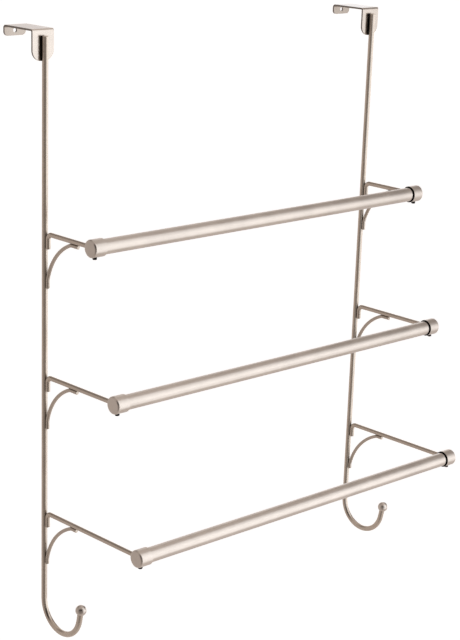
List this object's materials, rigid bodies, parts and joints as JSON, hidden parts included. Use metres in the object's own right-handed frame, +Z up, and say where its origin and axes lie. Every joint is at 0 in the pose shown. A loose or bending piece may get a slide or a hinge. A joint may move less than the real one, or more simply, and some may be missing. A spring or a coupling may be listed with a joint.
{
  "type": "over-the-door towel rack",
  "caption": "Over-the-door towel rack with stepped towel bars on wire arms, curved braces, hook ends and folded sheet brackets that hang over the top of a door.",
  "frame": {"origin": "midway between the two fixing holes in the brackets' rear flanges, on the flanges' inner faces, so on the back face of the door", "axes": "+Z up; +X across the door, to the right for a person facing the rack; -Y out of the door into the room, where the bars and hooks are; +Y towards the back of the door"},
  "size_m": [0.507, 0.2206, 0.6484],
  "materials": {
    "wire": "satin nickel plate over drawn steel wire, warm grey, faint lengthwise drawing grain",
    "bar_tube": "satin nickel plate over steel tube, fine polishing grain along the tube",
    "bracket_sheet": "satin nickel plate over steel sheet, slightly brighter than the wire",
    "sockets": "satin nickel plate over turned steel, fine turning rings on the closed end",
    "hook_balls": "satin nickel plate over turned steel balls",
    "set_screws": "black-oxide steel screws, dull, with bare metal at the hexagon's edge"
  },
  "bodies": {
    "frame": {"left_door_bracket": "bracket_sheet", "left_upright": "wire", "left_hook_ball": "hook_balls", "upper_left_arm": "wire", "upper_left_brace": "wire", "upper_left_socket": "sockets", "middle_left_arm": "wire", "middle_left_brace": "wire", "middle_left_socket": "sockets", "lower_left_arm": "wire", "lower_left_brace": "wire", "lower_left_socket": "sockets", "right_door_bracket": "bracket_sheet", "right_upright": "wire", "right_hook_ball": "hook_balls", "upper_right_arm": "wire", "upper_right_brace": "wire", "upper_right_socket": "sockets", "middle_right_arm": "wire", "middle_right_brace": "wire", "middle_right_socket": "sockets", "lower_right_arm": "wire", "lower_right_brace": "wire", "lower_right_socket": "sockets"},
    "upper_bar": {"upper_towel_bar": "bar_tube"},
    "upper_left_screw": {"upper_left_set_screw": "set_screws"},
    "upper_right_screw": {"upper_right_set_screw": "set_screws"},
    "middle_bar": {"middle_towel_bar": "bar_tube"},
    "middle_left_screw": {"middle_left_set_screw": "set_screws"},
    "middle_right_screw": {"middle_right_set_screw": "set_screws"},
    "lower_bar": {"lower_towel_bar": "bar_tube"},
    "lower_left_screw": {"lower_left_set_screw": "set_screws"},
    "lower_right_screw": {"lower_right_set_screw": "set_screws"}
  },
  "joints": [
    {"name": "upper_bar_turn", "type": "hinge", "parent": "frame", "child": "upper_bar", "pos_m": [0, -0.1307, -0.2005], "axis": [1, 0, 0], "continuous": true},
    {"name": "upper_left_screw_travel", "type": "slide", "parent": "frame", "child": "upper_left_screw", "axis": [0, 0, -1], "range_m": [0, 0.0012]},
    {"name": "upper_right_screw_travel", "type": "slide", "parent": "frame", "child": "upper_right_screw", "axis": [0, 0, -1], "range_m": [0, 0.0012]},
    {"name": "middle_bar_turn", "type": "hinge", "parent": "frame", "child": "middle_bar", "pos_m": [0, -0.1692, -0.354], "axis": [1, 0, 0], "continuous": true},
    {"name": "middle_left_screw_travel", "type": "slide", "parent": "frame", "child": "middle_left_screw", "axis": [0, 0, -1], "range_m": [0, 0.0012]},
    {"name": "middle_right_screw_travel", "type": "slide", "parent": "frame", "child": "middle_right_screw", "axis": [0, 0, -1], "range_m": [0, 0.0012]},
    {"name": "lower_bar_turn", "type": "hinge", "parent": "frame", "child": "lower_bar", "pos_m": [0, -0.2092, -0.5075], "axis": [1, 0, 0], "continuous": true},
    {"name": "lower_left_screw_travel", "type": "slide", "parent": "frame", "child": "lower_left_screw", "axis": [0, 0, -1], "range_m": [0, 0.0012]},
    {"name": "lower_right_screw_travel", "type": "slide", "parent": "frame", "child": "lower_right_screw", "axis": [0, 0, -1], "range_m": [0, 0.0012]}
  ]
}
